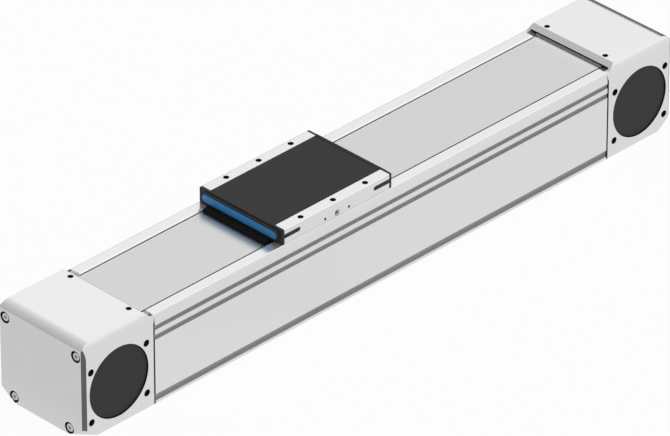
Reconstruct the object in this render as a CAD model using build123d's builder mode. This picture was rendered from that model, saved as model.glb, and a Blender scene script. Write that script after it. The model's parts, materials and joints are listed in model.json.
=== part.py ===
from build123d import *
from math import cos, degrees, floor, pi, radians, sin, sqrt
import os

os.makedirs("parts", exist_ok=True)

# Toothed belt linear axis. X runs along the axis, Z is up, and the origin is the
# middle of the base. "left" is the end at -X, "right" the end at +X.

# Overall sizes
axis_width = 80.0
profile_length = 426.0
housing_length = 64.0
housing_height = 73.0
carriage_length = 97.4
carriage_width = 77.6
carriage_top = housing_height + 7.0
carriage_rest_x = -45.0

# Fits and gaps
running_gap = 0.3
slip_gap = 0.05
mesh_gap = 0.2

# Outline shared by the profile and the housings
bottom_edge_radius = 1.0
shoulder_start = housing_height - 12.0
shoulder_radius = 28.0

# Profile
lip_top = housing_height - 4.3
lip_edge_radius = 0.6
strip_gap_half = 29.9
ledge_top = lip_top - 2.7
trough_half = 27.0
trough_floor = 24.5
belt_channel_half = 13.0
belt_channel_bottom = 12.5
belt_channel_top = 19.5
groove_depth = 1.8
upper_groove = (shoulder_start - 4.0, shoulder_start - 1.3)
lower_groove = (shoulder_start - 10.7, shoulder_start - 7.8)
clamp_recess_span = (2.6, 7.5)
clamp_recess_depth = 2.2
screw_channel_radius = 1.85
upper_screw = (33.2, shoulder_start + 1.85)
lower_screw = (26.0, 4.9)
wall_chamber_half_y = (30.0, 36.5)
wall_chamber_z = (26.0, 47.0)
floor_chamber_half_y = (16.5, 34.5)
floor_chamber_z = (10.5, 20.5)
chamber_corner = 1.5
base_relief_half = 20.0
base_relief_depth = 0.5

# Cover strip and its magnets
strip_thickness = 0.4
strip_drop = 1.0
strip_half = 29.6
strip_lift = 7.7
strip_bend_radius = 32.0
strip_ramp_run = 31.0
strip_flat_half = 16.0
strip_end_gap = 1.0
magnet_thickness = 1.2
magnet_width = 2.4

# Belt and pulleys
belt_pitch = 5.0
pulley_teeth = 20
belt_width = 20.0
belt_back_height = 0.9
belt_land_depth = 0.6
tooth_height = 1.2
tooth_base = 2.6
tooth_tip = 1.5
pulley_axis_z = 31.4
pulley_axis_from_end = 31.6
pulley_width = 21.2
flange_width = 1.3
flange_height = 2.3
pulley_bore_radius = 9.0
shaft_bore_radius = 5.0
shaft_end = 31.0

# Sealed bearings and their retaining rings
bearing_bore_radius = 8.5
bearing_outer_radius = 17.5
bearing_width = 10.0
bearing_start = 16.0
bearing_shoulder_radius = 15.5
inner_ring_radius = 11.4
outer_ring_radius = 14.6
seal_thickness = 1.0
circlip_width = 1.5
circlip_groove_depth = 1.2
circlip_ring_width = 2.6
shaft_clip_width = 1.2
shaft_clip_groove_depth = 0.5
shaft_clip_ring_width = 2.4
clip_opening = 6.0

# Housings
housing_arc_radius = 10.5
housing_arc_start = 8.5
corner_chamfer_x = 2.8
corner_chamfer_y = 2.0
corner_cut_x = 13.1
corner_cut_y = 14.5
corner_cut_z = 9.5
inner_chamfer = 4.8
land_length = 3.2
inner_edge_chamfer = 0.8
strip_slot_half = 36.4
strip_slot_span = (ledge_top + 1.1, ledge_top + 3.9)
strip_slot_depth = 20.0
clamp_plate_length = 13.0
clamp_plate_half = 30.5
clamp_plate_height = 1.4
grub_from_joint = 10.9
grub_half_y = 27.3
grub_radius = 2.0
grub_length = 2.5
chamber_radius = 20.0
chamber_half = 14.0
disc_radius = 25.9
disc_recess_radius = 26.05
disc_thickness = 3.0
disc_recess_depth = 3.5
disc_edge_chamfer = 0.4
motor_holes_x = 49.5
motor_holes_z = 38.4
motor_hole_radius = 2.55
motor_hole_depth = 12.0
counterbore_radius = 4.25
counterbore_depth = 4.3
housing_screw_head = (3.5, 4.0)
housing_screw_radius = 2.0
housing_screw_hole = 2.25
housing_screw_reach = 12.0
tap_runout = 2.0
hex_radius = 1.5
hex_depth = 2.0
buffer_radius = 5.0
buffer_length = 6.0
buffer_half_y = 18.0
buffer_z = lip_top - 10.7
buffer_edge = 1.2

# Guide rail and block
rail_width = 15.0
rail_height = 15.0
rail_end_gap = 1.0
rail_groove_z = 9.3
rail_groove_radius = 2.2
rail_groove_half_y = rail_width / 2 + 1.0
rail_edge = 0.5
rail_hole_pitch = 60.0
rail_hole_count = 7
rail_head = (3.5, 4.0)
rail_counterbore = (3.75, 5.0)
rail_screw_radius = 2.0
rail_screw_hole = 2.25
rail_screw_grip = 3.5
block_width = 34.0
block_length = 56.0
block_end_cap = 8.0
block_bottom_above_rail_base = 4.3
block_top_above_rail_base = 24.0
block_chamfer = 2.0
block_hole_pitch = 26.0
block_screw_radius = 2.0
block_screw_head = (3.5, 4.0)
block_screw_grip = 5.0
block_thread_depth = 6.0
block_head_seat = 5.0
block_counterbore = 3.9

# Carriage
neck_half = 26.2
channel_half = 29.8
cover_half = 30.4
cover_gap = 0.2
cover_thickness = 2.6
cover_drop = 0.35
carriage_edge_radius = 0.6
mount_half_y = 34.8
mount_pitch = 30.0
mount_hole_radius = 2.1
mount_hole_depth = 6.5
side_slot_length = 14.6
side_slot_height = 3.2
side_slot_z = carriage_top - 5.2
side_slot_depth = 2.8
end_cover_thickness = 2.0
bar_thickness = 1.8
bar_half = 36.0
bar_span = (carriage_top - 9.5, carriage_top - 1.3)
stripe_half = 34.8
stripe_height = 5.6
stripe_depth = 0.8
stripe_gap = 0.1
stripe_z = carriage_top - 5.4
lube_z = carriage_top - 8.4
lube_radius = 2.2
lube_depth = 1.6
lube_bore_radius = 0.8
lube_bore_depth = 6.0
side_hole_pitch = 22.1
side_hole_radius = 1.0
side_hole_depth = 4.0
deflector_length = 18.0
magnet_pocket_radius = 3.0
magnet_pocket_depth = 4.0
sensor_magnet_z = lip_top - 10.7

# Belt clamps
clamp_length = 18.0
clamp_half = 18.0
clamp_bottom = 40.6
clamp_block_gap = 1.0
clamp_screw_y = 13.5
clamp_screw_radius = 2.0
clamp_screw_head = (3.5, 2.6)
clamp_counterbore = 3.75
clamp_screw_grip = 8.0
belt_end_inset = 0.5
thread_runout = 0.5

# Places worked out from the sizes above
profile_half = profile_length / 2
overall_half = profile_half + housing_length
pulley_axis_x = overall_half - pulley_axis_from_end
pulley_distance = 2 * pulley_axis_x
pitch_radius = belt_pitch * pulley_teeth / (2 * pi)
upper_run_z = pulley_axis_z + pitch_radius
belt_land_radius = pitch_radius - belt_land_depth
wrap_length = pi * pitch_radius
strip_bottom = lip_top - strip_drop - strip_thickness
rail_base = trough_floor
rail_top = rail_base + rail_height
block_top = rail_base + block_top_above_rail_base
block_bottom = rail_base + block_bottom_above_rail_base
carriage_bottom = lip_top + running_gap
carriage_left = carriage_rest_x - carriage_length / 2
carriage_right = carriage_rest_x + carriage_length / 2
cover_top = carriage_top - cover_drop
cover_seat = cover_top - cover_thickness
clamp_inner = block_length / 2 + clamp_block_gap
belt_end = clamp_inner + belt_end_inset
width_half = axis_width / 2
carriage_half = carriage_width / 2
rail_length = profile_length - 2 * rail_end_gap
strip_end = profile_half + strip_slot_depth - strip_end_gap


def save(piece, name):
    piece.label = name
    export_step(piece, f"parts/{name}.step")


def outline_half(height):
    """Half width of the profile and the housings at a height above the shoulder."""
    lean = shoulder_radius - sqrt(shoulder_radius**2 - (height - shoulder_start) ** 2)
    return width_half - lean


def draw_outline(height):
    """Outline in the YZ sketch: upright sides that lean in on a large arc near the top."""
    top_half = outline_half(height)
    with BuildLine() as outline:
        Line((-width_half, 0), (width_half, 0))
        Line((width_half, 0), (width_half, shoulder_start))
        RadiusArc((width_half, shoulder_start), (top_half, height), -shoulder_radius)
        Line((top_half, height), (-top_half, height))
        RadiusArc((-top_half, height), (-width_half, shoulder_start), -shoulder_radius)
        Line((-width_half, shoulder_start), (-width_half, 0))
    make_face(outline.edges())


def box_between(low, high, mode=Mode.ADD):
    """Box given by its lowest and highest corner."""
    size = [high[axis] - low[axis] for axis in range(3)]
    middle = [(high[axis] + low[axis]) / 2 for axis in range(3)]
    with Locations(tuple(middle)):
        Box(*size, mode=mode)


def save_both(right_piece, name, middle=0):
    """Save a piece of the right end and its mirror image about the middle's X."""
    save(right_piece, f"{name}_right")
    with BuildPart() as left_end:
        mirror(right_piece, about=Plane.YZ.offset(middle))
    save(left_end.part, f"{name}_left")


def seats_on(plane, points):
    """Seats on a plane, each with its Z along the plane's normal."""
    return [plane.location * Location((u, v, 0)) for u, v in points]


def socket_screws(seats, head, shank_radius, shank_length):
    """Cap screws: the head stands on its seat and the shank goes down from it."""
    head_radius, head_height = head
    with Locations(*seats):
        Cylinder(head_radius, head_height, align=on_seat)
        Cylinder(shank_radius, shank_length, align=under_seat)
    with Locations(*[seat * Location((0, 0, head_height)) for seat in seats]):
        add(hex_socket.part, mode=Mode.SUBTRACT)


def bore(seats, radius, depth):
    """Round holes that go down from their seats."""
    with Locations(*seats):
        Cylinder(radius, depth, align=under_seat, mode=Mode.SUBTRACT)


def strip_points(lift_by):
    """Corners of the strip's way over the carriage, raised by lift_by."""
    low = strip_bottom + lift_by
    high = low + strip_lift
    ramp_end = strip_flat_half
    ramp_start = strip_flat_half + strip_ramp_run
    middle = carriage_rest_x
    quarter = strip_ramp_run / 4
    return [
        (middle - ramp_start + quarter, low),
        (middle - ramp_end - quarter, high),
        (middle + ramp_end + quarter, high),
        (middle + ramp_start - quarter, low),
    ]


def belt_place(distance):
    """Place on the pitch line, measured from the top of the left pulley
    down and round: left pulley, lower run, right pulley, upper run."""
    lower_end = wrap_length + pulley_distance
    right_end = lower_end + wrap_length
    if distance < 0:
        return Location((-pulley_axis_x - distance, upper_run_z), 180)
    if distance < wrap_length:
        turn = distance / pitch_radius
        x = -pulley_axis_x - pitch_radius * sin(turn)
        z = pulley_axis_z + pitch_radius * cos(turn)
        return Location((x, z), 180 + degrees(turn))
    if distance < lower_end:
        x = -pulley_axis_x + distance - wrap_length
        return Location((x, pulley_axis_z - pitch_radius), 0)
    if distance < right_end:
        turn = (distance - lower_end) / pitch_radius
        x = pulley_axis_x + pitch_radius * sin(turn)
        z = pulley_axis_z - pitch_radius * cos(turn)
        return Location((x, z), degrees(turn))
    return Location((pulley_axis_x - (distance - right_end), upper_run_z), 180)


def tooth_shape(grow, mode):
    """Trapezoid belt tooth, standing on the land line and pointing inwards.
    grow widens and deepens it into the groove that it meshes with."""
    root = belt_land_depth - 2 * mesh_gap
    tip = belt_land_depth + tooth_height + grow
    half_root = tooth_base / 2 + grow
    half_tip = tooth_tip / 2 + grow
    Polygon(
        (-half_root, root),
        (half_root, root),
        (half_tip, tip),
        (-half_tip, tip),
        align=None,
        mode=mode,
    )


on_seat = (Align.CENTER, Align.CENTER, Align.MIN)
under_seat = (Align.CENTER, Align.CENTER, Align.MAX)

# Hexagon socket of the screws, taken out of each head
with BuildPart() as hex_socket:
    with BuildSketch():
        RegularPolygon(hex_radius, 6)
    extrude(amount=-hex_depth)

# Teeth of the belt: left of the carriage they count backwards from the left pulley
left_free_run = carriage_rest_x - belt_end + pulley_axis_x
right_free_run = pulley_axis_x - (carriage_rest_x + belt_end)
full_path = 2 * wrap_length + pulley_distance + right_free_run
first_tooth = -floor((left_free_run - tooth_base / 2) / belt_pitch)
last_tooth = floor((full_path - tooth_base / 2) / belt_pitch)
tooth_places = [belt_place(n * belt_pitch) for n in range(first_tooth, last_tooth + 1)]
clamped_places = [
    place
    for place in tooth_places
    if place.position.Y > pulley_axis_z
    and abs(place.position.X - carriage_rest_x) < clamp_inner + clamp_length + belt_pitch
]

# Screws that hold the rail and the housings
rail_screw_points = [
    (rail_hole_pitch * (n - (rail_hole_count - 1) / 2), 0) for n in range(rail_hole_count)
]
housing_screw_points = [
    (side * y, z) for side in (-1, 1) for y, z in (upper_screw, lower_screw)
]
web = trough_floor - belt_channel_top

# Profile: extruded aluminium beam
with BuildPart() as profile:
    with BuildSketch(Plane.YZ) as profile_section:
        draw_outline(lip_top)
        fillet(profile_section.vertices().group_by(Axis.Y)[0], bottom_edge_radius)
        with Locations((0, lip_top)):
            Rectangle(2 * strip_gap_half, 2 * (lip_top - ledge_top), mode=Mode.SUBTRACT)
        with Locations((0, (trough_floor + lip_top) / 2)):
            Rectangle(2 * trough_half, lip_top - trough_floor, mode=Mode.SUBTRACT)
        with Locations((0, (belt_channel_bottom + belt_channel_top) / 2)):
            RectangleRounded(
                2 * belt_channel_half,
                belt_channel_top - belt_channel_bottom,
                chamber_corner,
                mode=Mode.SUBTRACT,
            )
        with Locations((0, 0)):
            Rectangle(2 * base_relief_half, 2 * base_relief_depth, mode=Mode.SUBTRACT)
        for side in (-1, 1):
            for low, high in (upper_groove, lower_groove):
                with Locations((side * width_half, (low + high) / 2)):
                    Rectangle(2 * groove_depth, high - low, mode=Mode.SUBTRACT)
            low, high = clamp_recess_span
            with Locations((side * width_half, (low + high) / 2)):
                Rectangle(2 * clamp_recess_depth, high - low, mode=Mode.SUBTRACT)
            for half_y, span in (
                (wall_chamber_half_y, wall_chamber_z),
                (floor_chamber_half_y, floor_chamber_z),
            ):
                with Locations((side * sum(half_y) / 2, sum(span) / 2)):
                    RectangleRounded(
                        half_y[1] - half_y[0],
                        span[1] - span[0],
                        chamber_corner,
                        mode=Mode.SUBTRACT,
                    )
            for screw_y, screw_z in (upper_screw, lower_screw):
                with Locations((side * screw_y, screw_z)):
                    Circle(screw_channel_radius, mode=Mode.SUBTRACT)
        lip_corners = [
            corner
            for corner in profile_section.vertices().group_by(Axis.Y)[-1]
            if abs(corner.X) > strip_gap_half + lip_edge_radius
        ]
        fillet(lip_corners, lip_edge_radius)
    extrude(amount=profile_half, both=True)
    bore(seats_on(Plane.XY.offset(trough_floor), rail_screw_points), rail_screw_radius + slip_gap, web)
    end_bore_depth = housing_screw_reach + tap_runout
    for end_x in (profile_half, end_bore_depth - profile_half):
        end_seats = seats_on(Plane.YZ.offset(end_x), housing_screw_points)
        bore(end_seats, housing_screw_radius + slip_gap, end_bore_depth)
save(profile.part, "profile")

# Guide rail with a ball track in each flank, and its screws
with BuildPart() as guide_rail:
    with BuildSketch(Plane.YZ):
        with Locations((0, rail_base + rail_height / 2)):
            Rectangle(rail_width, rail_height)
        with Locations(
            (-rail_groove_half_y, rail_base + rail_groove_z),
            (rail_groove_half_y, rail_base + rail_groove_z),
        ):
            Circle(rail_groove_radius, mode=Mode.SUBTRACT)
    extrude(amount=rail_length / 2, both=True)
    chamfer(guide_rail.edges().filter_by(Axis.X).group_by(Axis.Z)[-1], rail_edge)
    rail_seats = seats_on(Plane.XY.offset(rail_top), rail_screw_points)
    bore(rail_seats, rail_counterbore[0], rail_counterbore[1])
    bore(rail_seats, rail_screw_hole, rail_height)
save(guide_rail.part, "guide_rail")

rail_screw_seat = rail_top - rail_counterbore[1]
with BuildPart() as rail_screws:
    socket_screws(
        seats_on(Plane.XY.offset(rail_screw_seat), rail_screw_points),
        rail_head,
        rail_screw_radius,
        rail_screw_seat - rail_base + rail_screw_grip,
    )
save(rail_screws.part, "rail_screws")

# Cover strip: lies on the magnets and is lifted over the carriage
with BuildPart() as cover_strip:
    with BuildSketch(Plane.XZ):
        with BuildLine():
            under = [(-strip_end, strip_bottom), *strip_points(0), (strip_end, strip_bottom)]
            over = [
                (-strip_end, strip_bottom + strip_thickness),
                *strip_points(strip_thickness),
                (strip_end, strip_bottom + strip_thickness),
            ]
            FilletPolyline(*under, radius=strip_bend_radius)
            FilletPolyline(*over, radius=strip_bend_radius)
            Line(under[0], over[0])
            Line(under[-1], over[-1])
        make_face()
    extrude(amount=strip_half, both=True)
save(cover_strip.part, "cover_strip")

with BuildPart() as magnet_strips:
    magnet_y = strip_half - magnet_width / 2
    with Locations((0, -magnet_y, ledge_top), (0, magnet_y, ledge_top)):
        Box(rail_length, magnet_width, magnet_thickness, align=on_seat)
save(magnet_strips.part, "magnet_strips")

# Toothed belt: open, with both ends held under the carriage
with BuildPart() as toothed_belt:
    with BuildSketch(Plane.XZ):
        with Locations((0, pulley_axis_z)):
            SlotCenterToCenter(pulley_distance, 2 * (pitch_radius + belt_back_height))
            SlotCenterToCenter(pulley_distance, 2 * belt_land_radius, mode=Mode.SUBTRACT)
        with Locations((carriage_rest_x, upper_run_z)):
            Rectangle(2 * belt_end, 4 * belt_back_height, mode=Mode.SUBTRACT)
        with Locations(*tooth_places):
            tooth_shape(0, Mode.ADD)
    extrude(amount=belt_width / 2, both=True)
save(toothed_belt.part, "toothed_belt")

# End housing
end_face = Plane.YZ.offset(overall_half)
arc_start_x = overall_half - housing_arc_start
arc_end_z = (
    housing_height - housing_arc_radius + sqrt(housing_arc_radius**2 - housing_arc_start**2)
)
foot_x = profile_half + land_length
grub_x = profile_half + grub_from_joint
motor_hole_points = [
    (pulley_axis_x + dx * motor_holes_x / 2, dz * motor_holes_z / 2)
    for dx in (-1, 1)
    for dz in (-1, 1)
]


def side_seats(distance, points):
    """Seats on both upright planes at a distance from the middle, facing outwards.
    The points are X and height above the pulley's axis."""
    seats = []
    for side in (-1, 1):
        plane = Plane(
            origin=(0, side * distance, pulley_axis_z), x_dir=(1, 0, 0), z_dir=(0, side, 0)
        )
        seats += seats_on(plane, [(x, -side * z) for x, z in points])
    return seats


with BuildPart() as housing_right:
    with BuildSketch(Plane.YZ.offset(profile_half)) as housing_section:
        draw_outline(housing_height)
        fillet(housing_section.vertices().group_by(Axis.Y)[0], bottom_edge_radius)
    extrude(amount=housing_length)
    with BuildSketch(Plane.XZ):
        with BuildLine():
            Polyline(
                (overall_half, arc_end_z),
                (overall_half, 0),
                (profile_half, 0),
                (profile_half, lip_top),
                (foot_x, lip_top),
                (foot_x + inner_chamfer, housing_height),
                (arc_start_x, housing_height),
            )
            RadiusArc(
                (arc_start_x, housing_height), (overall_half, arc_end_z), housing_arc_radius
            )
        make_face()
    extrude(amount=axis_width, both=True, mode=Mode.INTERSECT)
    # Chamfers of the upright corners
    with BuildSketch(Plane.XY):
        for side in (-1, 1):
            Polygon(
                (overall_half - corner_chamfer_x, side * width_half),
                (overall_half, side * (width_half - corner_chamfer_y)),
                (overall_half + corner_chamfer_x, side * (width_half + corner_chamfer_y)),
                align=None,
            )
            Polygon(
                (profile_half + inner_edge_chamfer, side * width_half),
                (profile_half, side * (width_half - inner_edge_chamfer)),
                (profile_half - inner_edge_chamfer, side * (width_half + inner_edge_chamfer)),
                align=None,
            )
    extrude(amount=housing_height, mode=Mode.SUBTRACT)
    # Sloping cuts of the two outer bottom corners
    for side in (-1, 1):
        corner = Vector(overall_half, side * width_half, 0)
        on_side = corner - Vector(corner_cut_x, 0, 0)
        on_end = corner - Vector(0, side * corner_cut_y, 0)
        on_corner = corner + Vector(0, 0, corner_cut_z)
        outward = Vector(1 / corner_cut_x, side / corner_cut_y, -1 / corner_cut_z)
        cut_plane = Plane(
            origin=(on_side + on_end + on_corner) / 3, x_dir=on_end - on_side, z_dir=outward
        )
        with BuildSketch(cut_plane):
            Circle(corner_cut_x + corner_cut_y)
        extrude(amount=corner_cut_z, mode=Mode.SUBTRACT)
    # Channel and slot for the strip, with the holes of the set screws
    box_between(
        (profile_half, -strip_gap_half, ledge_top),
        (foot_x, strip_gap_half, housing_height),
        Mode.SUBTRACT,
    )
    box_between(
        (profile_half, -strip_slot_half, strip_slot_span[0]),
        (profile_half + strip_slot_depth, strip_slot_half, strip_slot_span[1]),
        Mode.SUBTRACT,
    )
    grub_points = [(grub_x, -grub_half_y), (grub_x, grub_half_y)]
    bore(
        seats_on(Plane.XY.offset(housing_height), grub_points),
        grub_radius + slip_gap,
        housing_height - strip_slot_span[1],
    )
    # Chamber of the pulley, open towards the profile
    with BuildSketch(Plane.XZ):
        with Locations((pulley_axis_x, pulley_axis_z)):
            Circle(chamber_radius)
        with Locations(((profile_half + pulley_axis_x) / 2, pulley_axis_z)):
            Rectangle(pulley_axis_x - profile_half, 2 * chamber_radius)
    extrude(amount=chamber_half, both=True, mode=Mode.SUBTRACT)
    # Bores of the bearings, grooves of the retaining rings, recesses of the discs
    axle = [(pulley_axis_x, 0)]
    bore(side_seats(width_half, axle), disc_recess_radius, disc_recess_depth)
    bore(side_seats(width_half, axle), bearing_outer_radius, width_half - bearing_start)
    bore(side_seats(width_half, axle), bearing_shoulder_radius, width_half - chamber_half)
    bore(
        side_seats(bearing_start + bearing_width + circlip_width, axle),
        bearing_outer_radius + circlip_groove_depth,
        circlip_width,
    )
    bore(side_seats(width_half, motor_hole_points), motor_hole_radius, motor_hole_depth)
    # Counterbored holes of the screws into the profile
    bore(seats_on(end_face, housing_screw_points), counterbore_radius, counterbore_depth)
    bore(seats_on(end_face, housing_screw_points), housing_screw_hole, housing_length)
save_both(housing_right.part, "housing")

with BuildPart() as disc_covers_right:
    with Locations(*side_seats(width_half - disc_recess_depth, axle)):
        Cylinder(disc_radius, disc_thickness, align=on_seat)
    rims = disc_covers_right.edges().filter_by(GeomType.CIRCLE).sort_by(Axis.Y)
    chamfer([rims[0], rims[-1]], disc_edge_chamfer)
save_both(disc_covers_right.part, "disc_covers")

with BuildPart() as housing_screws_right:
    socket_screws(
        seats_on(end_face.offset(-counterbore_depth), housing_screw_points),
        housing_screw_head,
        housing_screw_radius,
        housing_length - counterbore_depth + housing_screw_reach,
    )
save_both(housing_screws_right.part, "housing_screws")

# Clamp of the strip's end: a plate pressed down by two set screws
strip_top = strip_bottom + strip_thickness
clamp_plate_top = strip_top + slip_gap + clamp_plate_height
with BuildPart() as strip_clamp_right:
    box_between(
        (foot_x + running_gap, -clamp_plate_half, strip_top + slip_gap),
        (foot_x + running_gap + clamp_plate_length, clamp_plate_half, clamp_plate_top),
    )
save_both(strip_clamp_right.part, "strip_clamp")

with BuildPart() as clamp_grub_screws_right:
    with Locations(*seats_on(Plane.XY.offset(clamp_plate_top), grub_points)):
        Cylinder(grub_radius, grub_length, align=on_seat)
    with Locations(*seats_on(Plane.XY.offset(clamp_plate_top + grub_length), grub_points)):
        add(hex_socket.part, mode=Mode.SUBTRACT, rotation=(0, 0, 30))
save_both(clamp_grub_screws_right.part, "clamp_grub_screws")

# Bearings: sealed outer rings in the housing, inner rings on the shaft
with BuildPart() as bearing_outer_rings_right:
    with Locations(*side_seats(bearing_start, axle)):
        Cylinder(bearing_outer_radius, bearing_width, align=on_seat)
        Cylinder(
            inner_ring_radius + running_gap, bearing_width, align=on_seat, mode=Mode.SUBTRACT
        )
    with Locations(*side_seats(bearing_start + seal_thickness, axle)):
        Cylinder(
            outer_ring_radius,
            bearing_width - 2 * seal_thickness,
            align=on_seat,
            mode=Mode.SUBTRACT,
        )
save_both(bearing_outer_rings_right.part, "bearing_outer_rings")

with BuildPart() as bearing_inner_rings_right:
    with Locations(*side_seats(bearing_start, axle)):
        Cylinder(inner_ring_radius, bearing_width, align=on_seat)
        Cylinder(bearing_bore_radius, bearing_width, align=on_seat, mode=Mode.SUBTRACT)
save_both(bearing_inner_rings_right.part, "bearing_inner_rings")

circlip_outer = bearing_outer_radius + circlip_groove_depth - slip_gap
bearing_end = bearing_start + bearing_width
with BuildPart() as circlips_right:
    with Locations(*side_seats(bearing_end, axle)):
        Cylinder(circlip_outer, circlip_width - slip_gap, align=on_seat)
        Cylinder(
            circlip_outer - circlip_ring_width, circlip_width, align=on_seat, mode=Mode.SUBTRACT
        )
    with Locations((pulley_axis_x, 0, pulley_axis_z - circlip_outer)):
        Box(clip_opening, axis_width, 4 * circlip_ring_width, mode=Mode.SUBTRACT)
save_both(circlips_right.part, "circlips")

clip_inner = bearing_bore_radius - shaft_clip_groove_depth + slip_gap
with BuildPart() as shaft_clips_right:
    with Locations(*side_seats(bearing_end, axle)):
        Cylinder(clip_inner + shaft_clip_ring_width, shaft_clip_width - slip_gap, align=on_seat)
        Cylinder(clip_inner, shaft_clip_width, align=on_seat, mode=Mode.SUBTRACT)
    with Locations((pulley_axis_x, 0, pulley_axis_z - clip_inner)):
        Box(clip_opening, axis_width, 4 * shaft_clip_ring_width, mode=Mode.SUBTRACT)
save_both(shaft_clips_right.part, "shaft_clips")

# Rubber buffers on the inner faces of the housings
with BuildPart() as end_buffers_right:
    buffer_points = [(-buffer_half_y, buffer_z), (buffer_half_y, buffer_z)]
    with Locations(*seats_on(Plane.YZ.offset(profile_half), buffer_points)):
        Cylinder(buffer_radius, buffer_length, align=under_seat)
    tips = end_buffers_right.edges().filter_by(GeomType.CIRCLE).group_by(Axis.X)[0]
    chamfer(tips, buffer_edge)
save_both(end_buffers_right.part, "end_buffers")


def pulley_shape(axis_x, first_groove):
    """Pulley with its grooves; the first groove is at an angle in degrees from +X."""
    places = []
    for n in range(pulley_teeth):
        angle = first_groove + n * 360 / pulley_teeth
        x = axis_x + pitch_radius * cos(radians(angle))
        z = pulley_axis_z + pitch_radius * sin(radians(angle))
        places.append(Location((x, z), angle + 90))
    with BuildPart() as shape:
        with BuildSketch(Plane.XZ):
            with Locations((axis_x, pulley_axis_z)):
                Circle(belt_land_radius - mesh_gap)
            with Locations(*places):
                tooth_shape(mesh_gap, Mode.SUBTRACT)
            with Locations((axis_x, pulley_axis_z)):
                Circle(pulley_bore_radius, mode=Mode.SUBTRACT)
        extrude(amount=pulley_width / 2, both=True)
    return shape.part


# Pulleys: the belt's tooth at the top of the left one starts the count
right_lead = degrees((pulley_distance % belt_pitch) / pitch_radius)
pulley_left = pulley_shape(-pulley_axis_x, 90)
save(pulley_left, "pulley_left")
pulley_right = pulley_shape(pulley_axis_x, -90 - right_lead)
save(pulley_right, "pulley_right")

with BuildPart() as pulley_flanges_right:
    with Locations(*side_seats(pulley_width / 2, axle)):
        Cylinder(pitch_radius + flange_height, flange_width, align=on_seat)
        Cylinder(pulley_bore_radius, flange_width, align=on_seat, mode=Mode.SUBTRACT)
save_both(pulley_flanges_right.part, "pulley_flanges")

with BuildPart() as pulley_shaft_right:
    with Locations(*side_seats(0, axle)):
        Cylinder(pulley_bore_radius, bearing_start, align=on_seat)
        Cylinder(bearing_bore_radius, shaft_end, align=on_seat)
    with Locations(*side_seats(bearing_end, axle)):
        Cylinder(bearing_bore_radius, shaft_clip_width, align=on_seat, mode=Mode.SUBTRACT)
        Cylinder(
            bearing_bore_radius - shaft_clip_groove_depth, shaft_clip_width, align=on_seat
        )
    with Locations(*side_seats(0, axle)):
        Cylinder(shaft_bore_radius, shaft_end, align=on_seat, mode=Mode.SUBTRACT)
save_both(pulley_shaft_right.part, "pulley_shaft")

# Carriage body: rails over the lips, deck under the strip, neck down to the block
mount_hole_points = [
    (carriage_rest_x + n * mount_pitch, side * mount_half_y) for n in (-1, 0, 1) for side in (-1, 1)
]
block_screw_points = [
    (carriage_rest_x + dx * block_hole_pitch / 2, dy * block_hole_pitch / 2)
    for dx in (-1, 1)
    for dy in (-1, 1)
]
clamp_middle = clamp_inner + clamp_length / 2
clamp_screw_points = [
    (carriage_rest_x + dx * clamp_middle, dy * clamp_screw_y) for dx in (-1, 1) for dy in (-1, 1)
]
magnet_seats = [
    Plane(origin=(carriage_rest_x, side * neck_half, sensor_magnet_z), z_dir=(0, side, 0)).location
    for side in (-1, 1)
]


def flank_plane(side, inset):
    """Plane on one flank of the carriage, or inset from it, facing inwards."""
    return Plane(
        origin=(0, side * (carriage_half - inset), 0), x_dir=(1, 0, 0), z_dir=(0, -side, 0)
    )


def slot_from_end(side, end, end_x, inset):
    """Round-ended slot in the flank's sketch, open at the carriage's end."""
    half_height = side_slot_height / 2 - inset
    round_x = end_x - end * (side_slot_length - side_slot_height / 2)
    with Locations((round_x, side * side_slot_z)):
        Circle(half_height)
    with Locations(((round_x + end_x) / 2, side * side_slot_z)):
        Rectangle(abs(end_x - round_x), 2 * half_height)


def flank_seats(points):
    """Seats on both flanks of the carriage; the points are X from its middle and Z."""
    seats = []
    for side in (-1, 1):
        plane = Plane(
            origin=(carriage_rest_x, side * carriage_half, 0), x_dir=(1, 0, 0), z_dir=(0, side, 0)
        )
        seats += seats_on(plane, [(x, -side * z) for x, z in points])
    return seats


def above_strip(lift_by, start_x, end_x, high_end):
    """Sketch in XZ of what lies above the strip's way, raised by lift_by."""
    with BuildLine() as way:
        FilletPolyline(
            (start_x, strip_bottom + lift_by),
            *strip_points(lift_by),
            (end_x, strip_bottom + lift_by),
            radius=strip_bend_radius,
        )
        Polyline(
            (end_x, strip_bottom + lift_by),
            (end_x, high_end),
            (start_x, high_end),
            (start_x, strip_bottom + lift_by),
        )
    make_face(way.edges())


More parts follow.
